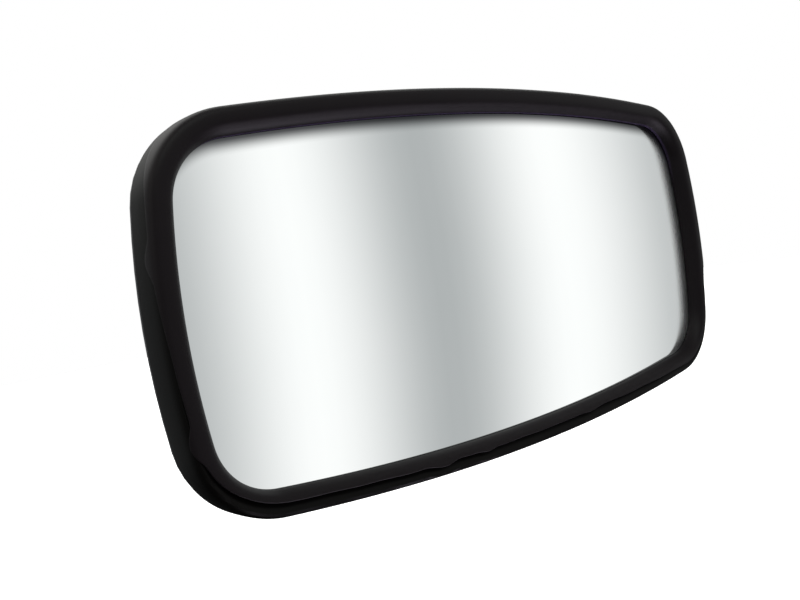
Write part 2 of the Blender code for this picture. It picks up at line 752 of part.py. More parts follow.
def make_tilt_fork(materials):
    coat = materials["black_powder_coat"]
    fork = make_fork("tilt_fork", coat, False, TILT_WEB_BACK, TILT_WEB_FRONT, TILT_Y)
    hole_ends = (TILT_WEB_FRONT - 5, TILT_WEB_BACK + 5)
    stud_hole = rod("stud_hole", HOLE_RADIUS, *hole_ends, None, (0, 1, 0), (0, 0, 0))
    return [cut(fork, [stud_hole])] + bolt_set("tilt", (1, 0, 0), (0, TILT_Y, 0), materials)


# ---- assembly ----
def pivot(name, location, parent=None):
    """An empty on a joint's axis, in millimetres."""
    empty = bpy.data.objects.new(name, None)
    bpy.context.scene.collection.objects.link(empty)
    empty.matrix_world = Matrix.Translation(Vector(location) * MM)
    if parent is not None:
        attach([empty], parent)
    return empty


def attach(objects, parent):
    """Parents the objects where they are."""
    bpy.context.view_layer.update()
    for obj in objects:
        world = obj.matrix_world.copy()
        obj.parent = parent
        obj.matrix_parent_inverse = parent.matrix_world.inverted()
        obj.matrix_world = world


def main():
    clear_scene()
    materials = make_materials()
    wall = pivot("wall_bracket", (0, 0, 0))
    pan = pivot("pan_axis", (0, PAN_Y, 0), wall)
    pan_knob = pivot("pan_knob_axis", (0, PAN_Y, 0), wall)
    tilt = pivot("tilt_axis", (0, TILT_Y, 0), pan)
    tilt_knob = pivot("tilt_knob_axis", (0, TILT_Y, 0), tilt)
    head = pivot("turn_axis", (0, SHELL_BACK, 0), tilt)

    attach(make_wall_bracket(materials), wall)
    attach(make_knob("pan", (0, 0, -1), (0, PAN_Y, 0), materials), pan_knob)
    attach(make_arm(materials), pan)
    attach(make_tilt_fork(materials), tilt)
    attach(make_knob("tilt", (1, 0, 0), (0, TILT_Y, 0), materials), tilt_knob)
    head_pieces = make_glass(materials) + make_foam(materials) + make_board(materials)
    head_pieces += make_gasket(materials) + make_shell(materials) + make_cover_screws(materials)
    head_pieces += make_stiffener(materials) + make_stud(materials)
    attach(head_pieces, head)


main()
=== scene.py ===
"""The looks of a wide convex security mirror on an adjustable wall bracket.

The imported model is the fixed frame: metres, +Z up, the mirror faces -Y. Section sizes below are in
millimetres. Across runs outwards from the visible edge of the glass, depth runs back from the crest
of the rim, and both follow the glass's sphere.
"""

import json
from math import atan2, cos, degrees, hypot, pi, radians, sin, sqrt

import bmesh
import bpy
from mathutils import Matrix, Vector, noise


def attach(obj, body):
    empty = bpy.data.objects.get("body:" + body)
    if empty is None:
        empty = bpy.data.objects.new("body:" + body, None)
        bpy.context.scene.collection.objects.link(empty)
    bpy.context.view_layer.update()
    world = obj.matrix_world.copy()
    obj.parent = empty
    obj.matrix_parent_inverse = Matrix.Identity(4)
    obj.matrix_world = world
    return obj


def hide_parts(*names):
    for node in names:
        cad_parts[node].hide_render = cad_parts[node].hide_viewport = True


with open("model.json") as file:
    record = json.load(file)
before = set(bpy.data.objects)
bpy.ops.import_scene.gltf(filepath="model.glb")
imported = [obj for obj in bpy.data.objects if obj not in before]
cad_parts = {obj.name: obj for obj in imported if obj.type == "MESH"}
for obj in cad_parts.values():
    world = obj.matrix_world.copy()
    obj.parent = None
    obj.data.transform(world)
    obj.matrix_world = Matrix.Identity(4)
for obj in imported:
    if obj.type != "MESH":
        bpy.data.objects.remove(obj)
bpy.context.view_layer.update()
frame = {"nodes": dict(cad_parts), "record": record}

MM = 0.001
# how close two points are merged, in metres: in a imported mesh, and along a new piece's seam
WELD = 0.00001
SEAM = 0.000001

# ---- the head's outline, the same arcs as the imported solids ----
HALF_WIDTH = 178.0
HALF_HEIGHT = 87.6
TOP_BOW_RADIUS = 1326.0
SIDE_BOW_RADIUS = 343.0
CORNER_RADIUS = 38.8
RIM_WIDTH = 11.2
DOME_RADIUS = 2200.0
CREST_Y = -192.6
GLASS_FRONT = 8.2
GLASS_BACK = 11.2
GLASS_COVER = 5.5  # how far the glass goes on under the rubber
OUTLINE_STEP = 1.6  # between the stations of a swept piece

# ---- the rubber lip: how far it reaches past the crest, all round the head ----
# (degrees round the middle from +X, reach in mm): it wraps the whole edge at the top, narrows down
# the left side, and falls short of the crest along the bottom.
LIP_REACH = [(0, 5), (40, 16), (155, 16), (165, 8), (190, 3), (210, -2), (300, -2.4), (345, 0), (360, 5)]
# (degrees round, extra reach in mm, half width in degrees): kinks left by fitting it by hand
LIP_KINKS = [(172, 4, 3), (194, 3, 3), (234, 2, 5), (248, 1, 4), (296, 1, 6)]
LIP_SHORTEST = -2.7
LIP_WAVER = 0.5  # mm, over bends of about 20 mm
LIP_WAVER_SCALE = 0.055
LIP_THICK = 1.1
LIP_TIP_THICK = 0.32  # where the lip lies on the side of the shell
LIP_THINS_FROM = 3.0  # the reach at which it starts to thin
LIP_THINS_OVER = 4.0
LIP_END = 1.0  # the last of the lip, which keeps one thickness
NOSE_RADIUS_SHARE = 0.5
NOSE_TURNS = (30, 60, 90, 120, 150)
TOP_POINTS = 24
UNDER_POINTS = 8

# ---- sections of the rim, as (across, depth) ----
CREST_ACROSS = 6.2
# the bead, from the edge of the glass up to the crest
BEAD = [(0.0, 7.9), (0.3, 5.9), (1.5, 3.1), (3.1, 1.1), (4.7, 0.2), (CREST_ACROSS, 0.0)]
# the lip's line on from the crest, over the edge of the shell and down its side
LIP = [(7.5, 0.0), (8.9, 0.1), (10.3, 0.8), (11.1, 2.5), (11.45, 5.0), (11.6, 8.0)]
LIP += [(11.65, 12.0), (11.6, 18.0)]
# the neck joins the lip to the channel that holds glass, foam and board
NECK_BACK = 1.2  # at least this far behind the lip's rounded nose
NECK_REACH = 0.6
NECK_DEPTH = 5.8
CHANNEL = [(6.9, 6.2), (6.9, 19.8), (2.6, 19.8), (2.6, 17.1), (5.8, 17.1), (5.8, 7.9)]
# the shell's rolled front edge, from under the bead round to the shell's side
FLANGE = [(2.6, 5.2), (4.0, 4.2), (5.6, 3.0), (7.0, 1.9), (8.2, 1.2), (9.2, 1.1), (10.1, 1.8)]
FLANGE += [(10.85, 4.0), (11.2, 8.8), (11.3, 13.0), (11.25, 17.4)]
FLANGE_POINTS = 20
FLANGE_WALL = 0.7
FLANGE_TUCK = 1.6  # how far it goes on under the lip's end
FLANGE_REACH = 0.4  # it starts no further out than this

# ---- the glass ----
# its rings: shares of the innermost edge ring, then places across from the visible edge
GLASS_SHARES = [0.05 + 0.05 * i for i in range(19)]
GLASS_EDGE_STEPS = [-16, -13, -11, -9, -8, -7, -6, -5, -4, -3, -2, -1, 0, 2, GLASS_COVER]
FRONT_ONLY = 1 - 0.0001  # of the sphere's radius: only the front lies further out
# a painted shade on the glass under its top and right edges, standing in for the rim's soft dark reflection
PAINTED_SHADE_WIDTH = 7.0
PAINTED_SHADE_START = 0.5
PAINTED_SHADE_SHIFT = Vector((3.0, 8.0))  # the shade is wide under the top edge, narrow at the right
HAZE_WIDTH = 32.0
HAZE_ROUGHNESS = 0.30
FILM_ROUGHNESS = 0.012

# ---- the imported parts' edges: how far each is softened, in mm ----
EDGE_SOFTENING = {
    "wall_plate": 0.5,
    "wall_fork": 0.5,
    "tilt_fork": 0.5,
    "stiffener_plate": 0.3,
    "foam_pad": 0.5,
    "arm_tube": 0.2,
}
USUAL_SOFTENING = 0.25
SHARP_TURN = 34  # degrees: a sharper turn is an edge
FLAT_TURN = 0.6  # degrees: a gentler turn is one flat face

# ---- the camera ----
CAMERA_TURN = radians(-39.14)
CAMERA_RISE = radians(2.53)
CAMERA_ROLL = radians(-9.0)
CAMERA_FAR = 0.3528
CAMERA_LENS = 37.44
CAMERA_TARGET = Vector((-0.0755, CREST_Y * MM, -0.0047))

# ---- the studio ----
# Upright panels stand an even step apart in front on the right, bright ones and gaps in turn.
PANEL_STEP = 13.3
PANEL_BRIGHT, PANEL_GAP = 1.03, 0.47
# (degrees round from straight in front towards +X, how bright the room is there)
PANELS = [(-180, 0.5), (-150, 0.3), (-125, 0.5), (-95, 0.22), (-65, 0.35), (-35, 0.34), (-12, 0.6)]
PANELS += [(PANEL_STEP * i, PANEL_GAP if i % 2 else PANEL_BRIGHT) for i in range(1, 5)]
PANELS += [(70, 0.46), (86, 0.7), (105, 0.4), (130, 0.6), (155, 0.35), (180, 0.5)]
# (degrees round, degrees up, half width in degrees, colour)
SOFT_LAMPS = [
    (50, -64, 27, (5.4, 5.0, 5.8, 1)),
    (-14, -60, 34, (0.7, 0.72, 0.72, 1)),
    (49, 31, 15, (1.1, 1.15, 1.12, 1)),
    (118, 46, 36, (1.8, 1.85, 1.8, 1)),
    (-90, 33, 32, (1.6, 1.6, 1.5, 1)),
    (-172, 44, 38, (1.9, 1.9, 1.85, 1)),
]
# (place from straight down 0 to straight up 1, tint)
ROOM_FADE = [
    (0.0, (0.02, 0.02, 0.02, 1)),
    (0.28, (0.03, 0.03, 0.03, 1)),
    (0.35, (1, 1, 1, 1)),
    (0.66, (1, 1, 1, 1)),
    (0.74, (0.2, 0.2, 0.2, 1)),
    (1.0, (0.3, 0.3, 0.3, 1)),
]
FLOOR_HEIGHT = -0.42


def srgb(code):
    """An sRGB hex colour as linear RGBA."""
    parts = [int(code[i : i + 2], 16) / 255 for i in (1, 3, 5)]
    return (*(p / 12.92 if p <= 0.04045 else ((p + 0.055) / 1.055) ** 2.4 for p in parts), 1.0)


# ---- nodes ----
MIX_A, MIX_B, MIX_OUT = 6, 7, 2  # the colour sockets of a Mix node


def add(tree, kind, inputs=None, feeds=None, **settings):
    """One node. settings are its properties and inputs its sockets, linked when given an output.
    feeds is one of its outputs, and the socket that this output goes to."""
    node = tree.nodes.new(kind)
    for key, value in settings.items():
        setattr(node, key, value)
    for key, value in (inputs or {}).items():
        socket = node.inputs[key]
        if isinstance(value, bpy.types.NodeSocket):
            tree.links.new(value, socket)
        else:
            socket.default_value = value
    if feeds:
        output, target = feeds
        tree.links.new(node.outputs[output], target)
    return node


def new_finish(name):
    """An empty material with its shader and its place coordinates."""
    material = bpy.data.materials.new(name)
    material.use_nodes = True
    tree = material.node_tree
    tree.nodes.clear()
    shader = add(tree, "ShaderNodeBsdfPrincipled")
    add(tree, "ShaderNodeOutputMaterial", {"Surface": shader.outputs["BSDF"]})
    place = add(tree, "ShaderNodeTexCoord").outputs["Object"]
    return material, tree, shader, place


def silvered_mirror_glass():
    """Float glass silvered on its back: a clean mirror, faintly green, a little hazy at its right
    edge, where the rubber keeps the cloth out. Under its top and right edges it carries a painted shade,
    standing in for the rim's soft dark reflection."""
    material, tree, shader, place = new_finish("silvered_mirror_glass")
    shader.inputs["Metallic"].default_value = 1.0
    film = add(tree, "ShaderNodeTexNoise", {"Vector": place, "Scale": 14.0, "Detail": 3.0, "Roughness": 0.5})
    colours = {0: film.outputs["Fac"], MIX_A: srgb("#f6f9f8"), MIX_B: srgb("#fbfdfc")}
    clean = add(tree, "ShaderNodeMix", colours, data_type="RGBA").outputs[MIX_OUT]
    # painted shade: towards the top and right edges the base colour darkens to #434446, standing in for the
    # rim's dark reflection
    edge = add(tree, "ShaderNodeAttribute", attribute_name="painted_rim_shade").outputs["Fac"]
    painted_shade_mix = {0: edge, MIX_A: clean, MIX_B: srgb("#434446")}
    add(tree, "ShaderNodeMix", painted_shade_mix, (MIX_OUT, shader.inputs["Base Color"]), data_type="RGBA")
    # the glass grows hazy towards its right edge: the distance is from that edge's bow centre
    flat = add(tree, "ShaderNodeVectorMath", {0: place, 1: (1.0, 0.0, 1.0)}, operation="MULTIPLY").outputs[0]
    bow = ((HALF_WIDTH - SIDE_BOW_RADIUS) * MM, 0.0, 0.0)
    far = add(tree, "ShaderNodeVectorMath", {0: flat, 1: bow}, operation="DISTANCE").outputs["Value"]
    edge_at = (SIDE_BOW_RADIUS - RIM_WIDTH) * MM
    span = {"Value": far, "From Min": edge_at - HAZE_WIDTH * MM, "From Max": edge_at}
    haze = add(tree, "ShaderNodeMapRange", span, interpolation_type="SMOOTHSTEP").outputs["Result"]
    smear = add(tree, "ShaderNodeMath", {0: film.outputs["Fac"], 1: FILM_ROUGHNESS}, operation="MULTIPLY")
    rough = {0: haze, 1: HAZE_ROUGHNESS, 2: smear.outputs[0]}
    add(tree, "ShaderNodeMath", rough, (0, shader.inputs["Roughness"]), operation="MULTIPLY_ADD")
    return material


def extruded_epdm_rubber():
    """Extruded EPDM rubber: near black with a warm violet cast, satin, with a faint bloom and the
    fine die lines that run along an extrusion."""
    material, tree, shader, place = new_finish("extruded_epdm_rubber")
    shader.inputs["IOR"].default_value = 1.5
    shader.inputs["Specular IOR Level"].default_value = 0.11
    pattern = {"Vector": place, "Scale": 38.0, "Detail": 5.0, "Roughness": 0.6}
    bloom = add(tree, "ShaderNodeTexNoise", pattern)
    colours = {0: bloom.outputs["Fac"], MIX_A: srgb("#110c0f"), MIX_B: srgb("#1a1518")}
    plain = add(tree, "ShaderNodeMix", colours, data_type="RGBA").outputs[MIX_OUT]
    spread = {"Value": bloom.outputs["Fac"], "To Min": 0.42, "To Max": 0.56}
    add(tree, "ShaderNodeMapRange", spread, ("Result", shader.inputs["Roughness"]))
    section = add(tree, "ShaderNodeAttribute", attribute_name="section").outputs["Fac"]
    height = add(tree, "ShaderNodeSeparateXYZ", {"Vector": place}).outputs["Z"]
    # a painted violet sheen where the rubber meets the glass, over its first 2 mm and only at the top
    shares = []
    for value, none, full in ((section, 0.002, 0.0008), (height, 0.03, 0.07)):
        span = {"Value": value, "From Min": none, "From Max": full}
        share = add(tree, "ShaderNodeMapRange", span, interpolation_type="SMOOTHSTEP")
        shares.append(share.outputs["Result"])
    tint = add(tree, "ShaderNodeMath", {0: shares[0], 1: shares[1]}, operation="MULTIPLY").outputs[0]
    painted_violet_sheen = {0: tint, MIX_A: plain, MIX_B: srgb("#40364e")}
    add(tree, "ShaderNodeMix", painted_violet_sheen, (MIX_OUT, shader.inputs["Base Color"]), data_type="RGBA")
    # die lines 0.35 mm apart across the section
    across = {"W": section, "Scale": 2800.0, "Detail": 1.0}
    lines = add(tree, "ShaderNodeTexNoise", across, noise_dimensions="1D")
    speck = add(tree, "ShaderNodeTexNoise", {"Vector": place, "Scale": 1600.0, "Detail": 2.0})
    both = {0: lines.outputs["Fac"], 1: 0.5, 2: speck.outputs["Fac"]}
    relief = add(tree, "ShaderNodeMath", both, operation="MULTIPLY_ADD")
    bump = {"Height": relief.outputs[0], "Distance": 0.00003, "Strength": 0.6}
    add(tree, "ShaderNodeBump", bump, ("Normal", shader.inputs["Normal"]))
    return material


def black_abs(name, gloss, low, high, grain_height, grain_strength):
    """Injection-moulded ABS: black, with a spark grain in cells 0.5 mm wide."""
    material, tree, shader, place = new_finish(name)
    shader.inputs["IOR"].default_value = 1.54
    shader.inputs["Specular IOR Level"].default_value = gloss
    wide = add(tree, "ShaderNodeTexNoise", {"Vector": place, "Scale": 30.0, "Detail": 4.0})
    colours = {0: wide.outputs["Fac"], MIX_A: srgb(low), MIX_B: srgb(high)}
    add(tree, "ShaderNodeMix", colours, (MIX_OUT, shader.inputs["Base Color"]), data_type="RGBA")
    spread = {"Value": wide.outputs["Fac"], "To Min": 0.42, "To Max": 0.56}
    add(tree, "ShaderNodeMapRange", spread, ("Result", shader.inputs["Roughness"]))
    grain = add(tree, "ShaderNodeTexVoronoi", {"Vector": place, "Scale": 2000.0})
    bump = {"Height": grain.outputs["Distance"], "Distance": grain_height, "Strength": grain_strength}
    add(tree, "ShaderNodeBump", bump, ("Normal", shader.inputs["Normal"]))
    return material


def grained_black_abs():
    """The shell's ABS: finely grained, duller than the rubber and cooler."""
    return black_abs("grained_black_abs", 0.2, "#151416", "#201f21", 0.00004, 0.7)


def painted_shade_black_edge():
    """The same ABS at the shell's rolled edge: a shallower grain, matt, hardly a reflection, and very dark:
    a painted shade, as if the edge lay always in shadow.
    """
    return black_abs("painted_shade_black_edge", 0.06, "#080707", "#0f0d0c", 0.00002, 0.6)


def closed_cell_foam():
    """Closed-cell polyethylene foam: soft dark grey with skinned-over bubbles."""
    material, tree, shader, place = new_finish("closed_cell_foam")
    shader.inputs["IOR"].default_value = 1.5
    cells = add(tree, "ShaderNodeTexVoronoi", {"Vector": place, "Scale": 900.0})
    colours = {0: cells.outputs["Distance"], MIX_A: srgb("#4c4c50"), MIX_B: srgb("#77777c")}
    add(tree, "ShaderNodeMix", colours, (MIX_OUT, shader.inputs["Base Color"]), data_type="RGBA")
    spread = {"Value": cells.outputs["Distance"], "To Min": 0.8, "To Max": 0.98}
    add(tree, "ShaderNodeMapRange", spread, ("Result", shader.inputs["Roughness"]))
    bump = {"Height": cells.outputs["Distance"], "Distance": 0.0003, "Strength": 1.0}
    add(tree, "ShaderNodeBump", bump, ("Normal", shader.inputs["Normal"]))
    return material


def pressed_hardboard():
    """Pressed fibre board: warm brown, flecked with pressed wood fibre."""
    material, tree, shader, place = new_finish("pressed_hardboard")
    shader.inputs["IOR"].default_value = 1.45
    # fibres about 2.4 mm long and 0.7 mm wide
    narrowed = {"Vector": place, "Scale": (0.3, 1.0, 1.0)}
    stretched = add(tree, "ShaderNodeMapping", narrowed, vector_type="POINT")
    grained = {"Vector": stretched.outputs["Vector"], "Scale": 1400.0, "Detail": 4.0, "Distortion": 1.2}
    fibre = add(tree, "ShaderNodeTexNoise", grained)
    colours = {0: fibre.outputs["Fac"], MIX_A: srgb("#5a3c28"), MIX_B: srgb("#8f6a48")}
    add(tree, "ShaderNodeMix", colours, (MIX_OUT, shader.inputs["Base Color"]), data_type="RGBA")
    spread = {"Value": fibre.outputs["Fac"], "To Min": 0.65, "To Max": 0.9}
    add(tree, "ShaderNodeMapRange", spread, ("Result", shader.inputs["Roughness"]))
    bump = {"Height": fibre.outputs["Fac"], "Distance": 0.0001, "Strength": 1.0}
    add(tree, "ShaderNodeBump", bump, ("Normal", shader.inputs["Normal"]))
    return material


def zinc_plated_steel():
    """Bright zinc plate with clear passivation: cool silver, a little cloudy, with a faint straw
    tint in patches and fine drawing marks."""
    material, tree, shader, place = new_finish("zinc_plated_steel")
    shader.inputs["Metallic"].default_value = 1.0
    pattern = {"Vector": place, "Scale": 160.0, "Detail": 5.0, "Roughness": 0.65}
    cloud = add(tree, "ShaderNodeTexNoise", pattern)
    colours = {0: cloud.outputs["Fac"], MIX_A: srgb("#a9adb0"), MIX_B: srgb("#cdcabd")}
    add(tree, "ShaderNodeMix", colours, (MIX_OUT, shader.inputs["Base Color"]), data_type="RGBA")
    spread = {"Value": cloud.outputs["Fac"], "To Min": 0.2, "To Max": 0.42}
    add(tree, "ShaderNodeMapRange", spread, ("Result", shader.inputs["Roughness"]))
    marks = add(tree, "ShaderNodeTexNoise", {"Vector": place, "Scale": 2400.0, "Detail": 2.0})
    bump = {"Height": marks.outputs["Fac"], "Distance": 0.00002, "Strength": 0.5}
    add(tree, "ShaderNodeBump", bump, ("Normal", shader.inputs["Normal"]))
    return material


def satin_powder_coat():
    """Black polyester powder coat on steel: satin, with the gentle orange peel of a baked coat."""
    material, tree, shader, place = new_finish("satin_powder_coat")
    shader.inputs["IOR"].default_value = 1.52
    # orange peel 1.4 mm from crest to crest
    pattern = {"Vector": place, "Scale": 700.0, "Detail": 2.0, "Roughness": 0.4}
    peel = add(tree, "ShaderNodeTexNoise", pattern)
    dust = add(tree, "ShaderNodeTexNoise", {"Vector": place, "Scale": 45.0, "Detail": 5.0, "Roughness": 0.6})
    colours = {0: dust.outputs["Fac"], MIX_A: srgb("#1b1b1d"), MIX_B: srgb("#29292b")}
    add(tree, "ShaderNodeMix", colours, (MIX_OUT, shader.inputs["Base Color"]), data_type="RGBA")
    spread = {"Value": dust.outputs["Fac"], "To Min": 0.34, "To Max": 0.52}
    add(tree, "ShaderNodeMapRange", spread, ("Result", shader.inputs["Roughness"]))
    bump = {"Height": peel.outputs["Fac"], "Distance": 0.00012, "Strength": 0.6}
    add(tree, "ShaderNodeBump", bump, ("Normal", shader.inputs["Normal"]))
    return material


def natural_nylon():
    """Unpigmented nylon 6: milky off-white, waxy, softly see-through at its edges."""
    material, tree, shader, place = new_finish("natural_nylon")
    shader.inputs["IOR"].default_value = 1.53
    shader.inputs["Subsurface Weight"].default_value = 0.3
    shader.inputs["Subsurface Scale"].default_value = 0.002
    milk = add(tree, "ShaderNodeTexNoise", {"Vector": place, "Scale": 220.0, "Detail": 3.0})
    colours = {0: milk.outputs["Fac"], MIX_A: srgb("#ddd7c6"), MIX_B: srgb("#ece8dc")}
    add(tree, "ShaderNodeMix", colours, (MIX_OUT, shader.inputs["Base Color"]), data_type="RGBA")
    spread = {"Value": milk.outputs["Fac"], "To Min": 0.35, "To Max": 0.5}
    add(tree, "ShaderNodeMapRange", spread, ("Result", shader.inputs["Roughness"]))
    bump = {"Height": milk.outputs["Fac"], "Distance": 0.00004, "Strength": 0.5}
    add(tree, "ShaderNodeBump", bump, ("Normal", shader.inputs["Normal"]))
    return material


def moulded_knob_plastic():
    """Glass-filled nylon of a hand knob: black, matt where it is gripped, with glass fibre flecks."""
    material, tree, shader, place = new_finish("moulded_knob_plastic")
    shader.inputs["IOR"].default_value = 1.53
    pattern = {"Vector": place, "Scale": 1300.0, "Detail": 3.0, "Roughness": 0.7}
    flecks = add(tree, "ShaderNodeTexNoise", pattern)
    colours = {0: flecks.outputs["Fac"], MIX_A: srgb("#161617"), MIX_B: srgb("#2b2b2c")}
    add(tree, "ShaderNodeMix", colours, (MIX_OUT, shader.inputs["Base Color"]), data_type="RGBA")
    spread = {"Value": flecks.outputs["Fac"], "To Min": 0.42, "To Max": 0.62}
    add(tree, "ShaderNodeMapRange", spread, ("Result", shader.inputs["Roughness"]))
    bump = {"Height": flecks.outputs["Fac"], "Distance": 0.00005, "Strength": 0.7}
    add(tree, "ShaderNodeBump", bump, ("Normal", shader.inputs["Normal"]))
    return material


FINISHES = {
    "mirror_silver": silvered_mirror_glass(),
    "black_rubber": extruded_epdm_rubber(),
    "black_abs": grained_black_abs(),
    "grey_foam": closed_cell_foam(),
    "hardboard": pressed_hardboard(),
    "zinc_steel": zinc_plated_steel(),
    "black_powder_coat": satin_powder_coat(),
    "white_nylon": natural_nylon(),
    "black_knob": moulded_knob_plastic(),
}


# ---- the outline ----
def corner_centre():
    """The centre of a corner arc that touches both bows from inside, and the two bows' centres."""
    top = Vector((0, HALF_HEIGHT - TOP_BOW_RADIUS))
    side = Vector((HALF_WIDTH - SIDE_BOW_RADIUS, 0))
    to_top = TOP_BOW_RADIUS - CORNER_RADIUS
    to_side = SIDE_BOW_RADIUS - CORNER_RADIUS
    apart = side - top
    along = (to_top**2 - to_side**2 + apart.length_squared) / (2 * apart.length)
    across = sqrt(to_top**2 - along**2)
    unit = apart.normalized()
    return top + unit * along + Vector((unit.y, -unit.x)) * across, top, side


def arc_stations(centre, radius, start, end):
    """(point, outward normal) along an arc, without its last one."""
    steps = max(2, round(abs(end - start) * radius / OUTLINE_STEP))
    turns = [start + (end - start) * i / steps for i in range(steps)]
    normals = [Vector((cos(turn), sin(turn))) for turn in turns]
    return [(centre + normal * radius, normal) for normal in normals]


def outline_stations():
    """(point, outward normal) pairs once round the head from +X, in the X-Z plane."""
    corner, top, side = corner_centre()
    side_turn = atan2(corner.y - side.y, corner.x - side.x)
    top_turn = atan2(corner.y - top.y, corner.x - top.x)
    quarter = arc_stations(side, SIDE_BOW_RADIUS, 0, side_turn)
    quarter += arc_stations(corner, CORNER_RADIUS, side_turn, top_turn)
    quarter += arc_stations(top, TOP_BOW_RADIUS, top_turn, pi / 2)
    middle_top = (Vector((0, HALF_HEIGHT)), Vector((0, 1)))
    flip = Vector((-1, 1))
    half = quarter + [middle_top] + [(point * flip, normal * flip) for point, normal in quarter[:0:-1]]
    return half + [(-point, -normal) for point, normal in half]


STATIONS = outline_stations()


def dome(x, z):
    """How far the glass's sphere falls back at (x, z)."""
    return DOME_RADIUS - sqrt(DOME_RADIUS**2 - x * x - z * z)


def faded(value):
    """0 below 0, 1 above 1, smooth between."""
    value = min(max(value, 0.0), 1.0)
    return value * value * (3 - 2 * value)


def dome_point(x, z, depth):
    """A place on the glass's sphere set back by depth, in metres."""
    return Vector((x, CREST_Y + depth + dome(x, z), z)) * MM


def rim_point(station, across, depth):
    """A place on the rim, in metres."""
    point, normal = STATIONS[station]
    x, z = point + normal * (across - RIM_WIDTH)
    return dome_point(x, z, depth)


def rounded(points, times=3):
    """Points with their corners cut again and again, so that a line through them is a soft curve."""
    for _ in range(times):
        cut = [points[0]]
        for a, b in zip(points, points[1:]):
            cut.append((a[0] * 0.75 + b[0] * 0.25, a[1] * 0.75 + b[1] * 0.25))
            cut.append((a[0] * 0.25 + b[0] * 0.75, a[1] * 0.25 + b[1] * 0.75))
        points = cut + [points[-1]]
    return points


class Section:
    """A line in (across, depth), walked by its length from a chosen start."""

    def __init__(self, points, start_across):
        self.points = [Vector(p) for p in rounded(points)]
        self.lengths = [0.0]
        for a, b in zip(self.points, self.points[1:]):
            self.lengths.append(self.lengths[-1] + (b - a).length)
        first = next(i for i, p in enumerate(self.points) if p.x >= start_across)
        self.zero = self.lengths[first]
        self.start = -self.zero
        self.end = self.lengths[-1] - self.zero

    def at(self, reach, out=0.0):
        """The place at a reach past the start, moved out of the surface by out."""
        walked = min(max(reach + self.zero, 0.0), self.lengths[-1])
        i = next(i for i, length in enumerate(self.lengths[1:], 1) if length >= walked)
        a, b = self.points[i - 1], self.points[i]
        share = (walked - self.lengths[i - 1]) / (self.lengths[i] - self.lengths[i - 1])
        along = (b - a).normalized()
        return a.lerp(b, share) + Vector((along.y, -along.x)) * out


def eased(table, place):
    """A value from a (place, value) table, flat at each entry and smooth between them."""
    for (a, low), (b, high) in zip(table, table[1:]):
        if a <= place <= b:
            return low + (high - low) * faded((place - a) / (b - a))
    return table[-1][1]


def lip_reach(station):
    """How far past the crest the lip reaches at a station, with the slight waver of cut rubber."""
    point = STATIONS[station][0]
    turn = degrees(atan2(point.y, point.x)) % 360
    kinks = sum(rise * faded(1 - abs(turn - place) / width) for place, rise, width in LIP_KINKS)
    waver = noise.noise(Vector((point.x, point.y, 0)) * LIP_WAVER_SCALE)
    return max(eased(LIP_REACH, turn) + kinks + LIP_WAVER * waver, LIP_SHORTEST)


def sheet(bm, columns, rows):
    """A sheet of columns by rows faces: each of its verts with its column and row."""
    grid = bmesh.ops.create_grid(bm, x_segments=columns, y_segments=rows, size=0.5)["verts"]
    return [(vert, round((vert.co.x + 0.5) * columns), round((vert.co.y + 0.5) * rows)) for vert in grid]


def to_object(name, bm):
    """The bmesh as an object at the origin, smooth but for its sharp edges."""
    bmesh.ops.recalc_face_normals(bm, faces=bm.faces)
    mesh = bpy.data.meshes.new(name)
    bm.to_mesh(mesh)
    bm.free()
    mesh.shade_smooth()
    mesh.set_sharp_from_angle(angle=radians(SHARP_TURN))
    piece = bpy.data.objects.new(name, mesh)
    bpy.context.scene.collection.objects.link(piece)
    return piece


def walked(section, k):
    """The length of a section up to its point k."""
    return sum(hypot(b[0] - a[0], b[1] - a[1]) for a, b in zip(section[:k], section[1 : k + 1]))


def sweep(name, sections):
    """A closed section carried once round the head. sections holds one list of (across, depth) per
    station, all of one length. How far each point is round the section is kept for the die lines."""
    bm = bmesh.new()
    rounds = bm.verts.layers.float.new("section")
    stations, points = len(sections), len(sections[0])
    for vert, column, row in sheet(bm, stations, points):
        section = sections[column % stations]
        vert.co = rim_point(column % stations, *section[row % points])
        vert[rounds] = walked(section, row % points) * MM
    bmesh.ops.remove_doubles(bm, verts=bm.verts, dist=SEAM)
    return to_object(name, bm)


# ---- the head's visible pieces ----
RUBBER_LINE = Section(BEAD + LIP, CREST_ACROSS)
FLANGE_LINE = Section(FLANGE, CREST_ACROSS)


def lip_thickness(reach):
    """Thick on the front of the rim, thin where the lip lies on the shell's side."""
    share = min(max((reach - LIP_THINS_FROM) / LIP_THINS_OVER, 0.0), 1.0)
    return LIP_THICK + (LIP_TIP_THICK - LIP_THICK) * share


def gasket_section(reach):
    """The rubber from the edge of the glass over the bead to the lip's end, back under the lip, and
    round the channel that holds glass, foam and board."""
    thick = lip_thickness(reach)
    nose = thick * NOSE_RADIUS_SHARE
    first = RUBBER_LINE.start
    last = reach - nose
    points = [RUBBER_LINE.at(first + (last - first) * i / (TOP_POINTS - 1)) for i in range(TOP_POINTS)]
    for turn in NOSE_TURNS:
        forward = nose * sin(radians(turn))
        inward = nose * (1 - cos(radians(turn)))
        points.append(RUBBER_LINE.at(last + forward, -inward))
    neck = min(last - NECK_BACK, NECK_REACH)
    for i in range(UNDER_POINTS):
        place = last + (neck - last) * i / (UNDER_POINTS - 1)
        points.append(RUBBER_LINE.at(place, -lip_thickness(place) if place < last - LIP_END else -thick))
    points.append((min(RUBBER_LINE.at(neck).x, CREST_ACROSS), NECK_DEPTH))
    return [tuple(point) for point in points + CHANNEL]


def make_rubber_gasket():
    """The rubber edging with its wandering lip."""
    reaches = [lip_reach(i) for i in range(len(STATIONS))]
    return sweep("rubber_edging", [gasket_section(reach) for reach in reaches])


